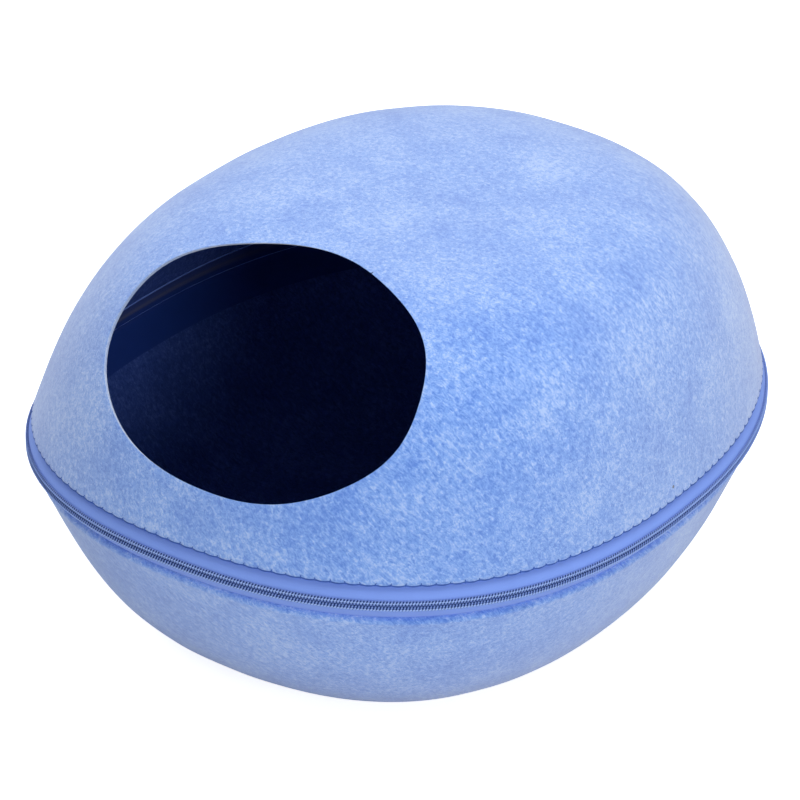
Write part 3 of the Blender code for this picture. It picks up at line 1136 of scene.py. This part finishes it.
# %% Cords and chain stitches
CORD_MIDDLE = 0.00160
CORD_HALF_HEIGHT = 0.00150
CORD_HALF_DEPTH = 0.0004
TUBE_SIDES = 6
STITCH_UP = 0.0021               # of the row above the chain's middle
STITCH_HALF_HEIGHT = 0.00052
STITCH_HALF_DEPTH = 0.00028
STITCH_STAND = 0.6               # how far its middle stands out, as a share of half its depth
STITCH_LENGTH = 0.00190
STITCH_SLANT = math.radians(-24)
STITCH_PHASE = 0.25              # of a link


def model_stitch():
    """One chain stitch: a slim grain that lies along the zip at a slight slant."""
    add_sphere = bpy.ops.mesh.primitive_uv_sphere_add
    stitch = add_piece(add_sphere, segments=6, ring_count=5, radius=1)
    select_only(stitch)
    stitch.rotation_euler = (0, math.pi / 2, 0)
    bpy.ops.object.transform_apply(rotation=True)
    stitch.scale = (STITCH_LENGTH / 2, STITCH_HALF_DEPTH, STITCH_HALF_HEIGHT)
    bpy.ops.object.transform_apply(scale=True)
    stitch.rotation_euler = (0, STITCH_SLANT, 0)
    bpy.ops.object.transform_apply(rotation=True)
    return stitch


for label, side in (("upper", 1), ("lower", -1)):
    rows = []
    for corner in range(TUBE_SIDES):
        turn = 2 * math.pi * corner / TUBE_SIDES
        out = -COIL_DEPTH / 2 + CORD_HALF_DEPTH * math.cos(turn)
        up = side * CORD_MIDDLE + CORD_HALF_HEIGHT * math.sin(turn)
        rows.append(zip_row(tape_angles, out, up))
    cord = add_strip(label + "_cord", rows, closed_across=True)
    finish_piece(cord, [core_painted_shade])
    stand = STITCH_HALF_DEPTH * STITCH_STAND
    places, axes = chain_frames(STITCH_PHASE, stand, side * STITCH_UP)
    stitches = copy_along(label + "_chain_stitch", model_stitch(), places, axes)
    finish_piece(stitches, [thread_pale])

# %% [markdown]
# ## The blanket stitch
# The dome's edge is sewn to the tape with a blanket stitch in dark blue thread: a short leg
# up the felt at each stitch, and a thread that sags along the edge from one leg to the next.
# The edge thread is both the real thread and painted shade: it stands in for the shadow line
# under the felt's edge.
# Both are tubes. The leg is modelled once and copied, and the edge thread is one long strip.

# %% Legs and edge thread
LEG_RADIUS = 0.00052
LEG_TURN = math.radians(28)      # about the most by which a leg leans to either side
LEG_STRETCH = 0.25               # about the most by which it is longer or shorter
LEG_PATH = (
    # out of the felt, up from its edge
    (-0.0022, -0.0007),
    (-0.0004, -0.0009),
    (0.0001, -0.0003),
    (0.0002, 0.0003),
    (-0.0002, 0.0009),
    (-0.0012, 0.0012),
)
THREAD_RADIUS = 0.00042
THREAD_SAG = 0.0004
THREAD_DROP = 0.0003             # below the felt's edge at a leg
THREAD_DEPTH = 0.0012            # behind the felt's outer face at a leg
THREAD_BOW = 0.0007              # how far it comes forward between two legs
THREAD_STEPS = 6                 # to a stitch


def model_leg():
    """A thread that comes from behind the edge, over it and into the felt."""
    leg = add_piece(bpy.ops.curve.primitive_nurbs_path_add)
    leg.data.splines.clear()
    spline = leg.data.splines.new("NURBS")
    spline.points.add(len(LEG_PATH) - 1)
    for point, (out, up) in zip(spline.points, LEG_PATH):
        point.co = (0, out, up, 1)
    spline.use_endpoint_u = True
    spline.order_u = 3
    leg.data.resolution_u = 2
    leg.data.bevel_depth = LEG_RADIUS
    leg.data.bevel_resolution = 1
    leg.data.use_fill_caps = True
    select_only(leg)
    bpy.ops.object.convert(target="MESH")
    return bpy.context.active_object


def edge_frames(angles):
    """The dome's outer edge, with the directions along it, out of it and up the felt."""
    edge = dome_at(angles, 0)
    turn = 1e-3
    along = unit_rows(dome_at(angles + turn, 0) - dome_at(angles - turn, 0))
    up = unit_rows(dome_at(angles, 0.003) - edge)
    return edge, along, np.cross(along, up), up


def leg_values(pace, start):
    """A value for each leg, from a noise read at a pace and from a start of its own."""
    steps = range(STITCHES)
    return np.array([noise.noise(Vector((step * pace, start, 0))) for step in steps])[:, None]


edge, along, out, up = edge_frames(edge_angles[::STITCH_COLUMNS])
pulled = edge - out * SCALLOP + up * SCALLOP * SCALLOP_LIFT
leans = leg_values(1.7, 0.3) * 2 * LEG_TURN
stretches = 1 + 2 * LEG_STRETCH * leg_values(1.3, 9.1)
leaning = (up * np.cos(leans) + along * np.sin(leans)) * stretches
legs = copy_along("edge_legs", model_leg(), pulled, np.stack([along, out, leaning], axis=1))
finish_piece(legs, [thread_dark])

thread_columns = STITCHES * THREAD_STEPS
edge, along, out, up = edge_frames(angles_round(thread_columns))
phase = np.arange(thread_columns) % THREAD_STEPS / THREAD_STEPS
sag = np.sin(np.pi * phase)[:, None]
line = edge + out * (-THREAD_DEPTH + THREAD_BOW * sag) - up * (THREAD_DROP + THREAD_SAG * sag)
rows = []
for corner in range(TUBE_SIDES):
    turn = 2 * math.pi * corner / TUBE_SIDES
    rows.append(line + (out * math.cos(turn) + up * math.sin(turn)) * THREAD_RADIUS)
edge_thread_and_shadow_line = add_strip("edge_thread_and_shadow_line", rows, closed_across=True)
finish_piece(edge_thread_and_shadow_line, [thread_dark])

# %% [markdown]
# ## Slider and pull
# They sit at the back, out of the picture, where the coil's ends meet. The slider keeps its
# solid, with softened edges and lacquer. The pull is a narrow woven ribbon folded through the
# slider's crown, so it is made again as a strip of cloth.

# %% The slider's finish
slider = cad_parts["zip_slider"]
slider.data.materials.clear()
slider.data.materials.append(lacquer_blue)
soft = slider.modifiers.new("soft_edges", "BEVEL")
soft.width = 0.00025
soft.segments = 2
soft.limit_method = "ANGLE"

# %% The ribbon pull
pull_low, pull_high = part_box("zip_pull")
RIBBON_HALF_WIDTH = 0.0021
RIBBON = 0.0007                  # thickness
RIBBON_END = 0.0009              # from the middle of the two layers to the outer face
RIBBON_NECK = 0.002              # below the crown's eye, where the two layers have parted
RIBBON_SHARES = (0, 0.25, 0.5, 0.75, 0.9, 1)
CROWN_STEPS = 8
pull_depth = pull_high[1] - pull_low[1]
eye = Vector((0, (pull_low[1] + pull_high[1]) / 2, pull_high[2] - pull_depth / 2))


def ribbon_path():
    """The ribbon's outer face from one end, up round the crown, to the other end."""
    half = pull_depth / 2
    bottom = pull_low[2] - eye.z
    front = []
    for share in RIBBON_SHARES:
        up = bottom + (-RIBBON_NECK - bottom) * share
        out = RIBBON_END + (half - RIBBON_END) * max(0.0, share * 4 - 3) ** 1.5
        front.append((out, up))
    turns = [math.pi * step / CROWN_STEPS for step in range(CROWN_STEPS + 1)]
    crown = [(half * math.cos(turn), half * math.sin(turn)) for turn in turns]
    return front + crown + [(-out, up) for out, up in reversed(front)]


def make_ribbon():
    path = ribbon_path()
    last = len(path) - 1
    add_grid = bpy.ops.mesh.primitive_grid_add
    ribbon = add_piece(add_grid, x_subdivisions=4, y_subdivisions=last, size=1)
    ribbon.name = "ribbon_pull"
    for vert in ribbon.data.vertices:
        out, up = path[round((vert.co.y + 0.5) * last)]
        vert.co = (vert.co.x * -2 * RIBBON_HALF_WIDTH, eye.y + out, eye.z + up)
    apply_modifier(
        ribbon, "SOLIDIFY", "thickness", thickness=RIBBON, offset=-1, use_even_offset=True
    )
    return ribbon


ribbon = make_ribbon()
finish_piece(ribbon, [tape_blue], "zip_pull")

# %% [markdown]
# ## The cloth's sizes
# The shells are pressed from flat rounds of felt, whose width and length are the lengths of
# their sections both ways. The tapes are cut from a roll, each as long as the zip line. The
# pull's ribbon is 4.2 mm wide, which is narrower than the call takes, so it isn't declared: a
# wider figure would only be made up.

# %% [markdown]
# ## Floor, light and camera
# The cave is shown on a pale floor in very soft light from all round, with more from above
# and from both sides, where the right light is the smaller and so the harder one. The camera
# stands high and some way round to the right of the entry, with a long lens.

# %% Floor and light
FLOOR_SIZE = 8
FLOOR_GAP = 0.0005
FLOOR_GLOW = 0.80                # only towards the camera, so the sheet behind burns out white
WORLD_LIGHT = 0.46
floor = add_piece(
    bpy.ops.mesh.primitive_plane_add, size=FLOOR_SIZE, location=(0, 0, -FLOOR_GAP)
)
floor.name = "floor"
floor_finish, floor_tree, floor_shader = new_material(
    "floor_white",
    Base_Color=(0.75, 0.75, 0.75, 1),
    Roughness=0.9,
    Emission_Color=(1, 1, 1, 1),
)
seen = add_node(floor_tree, "ShaderNodeLightPath")
glow = math_node(floor_tree, "MULTIPLY", seen.outputs["Is Camera Ray"], FLOOR_GLOW)
feed(floor_tree, floor_shader.inputs["Emission Strength"], glow)
floor.data.materials.append(floor_finish)

world = bpy.data.worlds.new("soft_white")
bpy.context.scene.world = world
world.use_nodes = True
world.node_tree.nodes["Background"].inputs["Color"].default_value = (1, 1, 1, 1)
world.node_tree.nodes["Background"].inputs["Strength"].default_value = WORLD_LIGHT


def add_area_light(name, place, size, power):
    """A square light that faces the middle of the cave."""
    bpy.ops.object.light_add(type="AREA", location=place)
    light = bpy.context.active_object
    light.name = name
    light.data.size = size
    light.data.energy = power
    towards = Vector((0, 0, ZIP_HEIGHT)) - Vector(place)
    light.rotation_euler = towards.to_track_quat("-Z", "Y").to_euler()


add_area_light("right_light", (1.71, -1.11, 0.92), 0.5, 13)
add_area_light("left_light", (-2.0, 0.5, 1.2), 1.5, 15)
add_area_light("top_light", (0.3, 0.2, 2.4), 2.0, 33)
bpy.context.scene.view_settings.view_transform = "Standard"

# %% Camera
CAMERA_AZIMUTH = math.radians(35.145)
CAMERA_ELEVATION = math.radians(29.69)
CAMERA_ROLL = math.radians(-0.882)
CAMERA_DISTANCE = 3.0267
CAMERA_SIDE = -0.00345
CAMERA_RAISE = 0.00155
LENS = 231.06                    # mm, on a sensor of 36 mm

right = Vector((math.cos(CAMERA_AZIMUTH), math.sin(CAMERA_AZIMUTH), 0))
level = Vector((math.sin(CAMERA_AZIMUTH), -math.cos(CAMERA_AZIMUTH), 0))
back = level * math.cos(CAMERA_ELEVATION) + Vector((0, 0, math.sin(CAMERA_ELEVATION)))
overhead = back.cross(right)
camera_right = right * math.cos(CAMERA_ROLL) - overhead * math.sin(CAMERA_ROLL)
camera_up = right * math.sin(CAMERA_ROLL) + overhead * math.cos(CAMERA_ROLL)
camera_place = Vector((0, CENTRE_Y, ZIP_HEIGHT + CAMERA_RAISE)) + right * CAMERA_SIDE
camera_place += back * CAMERA_DISTANCE
bpy.ops.object.camera_add()
camera = bpy.context.active_object
camera.data.lens = LENS
camera.data.sensor_width = 36
turn = Matrix((camera_right, camera_up, back)).transposed().to_4x4()
camera.matrix_world = Matrix.Translation(camera_place) @ turn
bpy.context.scene.camera = camera
print("camera at, m:", [round(value, 3) for value in camera_place])

# %% [markdown]
# ## Last update
# The dressed cave has to be as large as the solids. The script ends by bringing the scene up to
# date.

# %% End
bpy.context.view_layer.update()
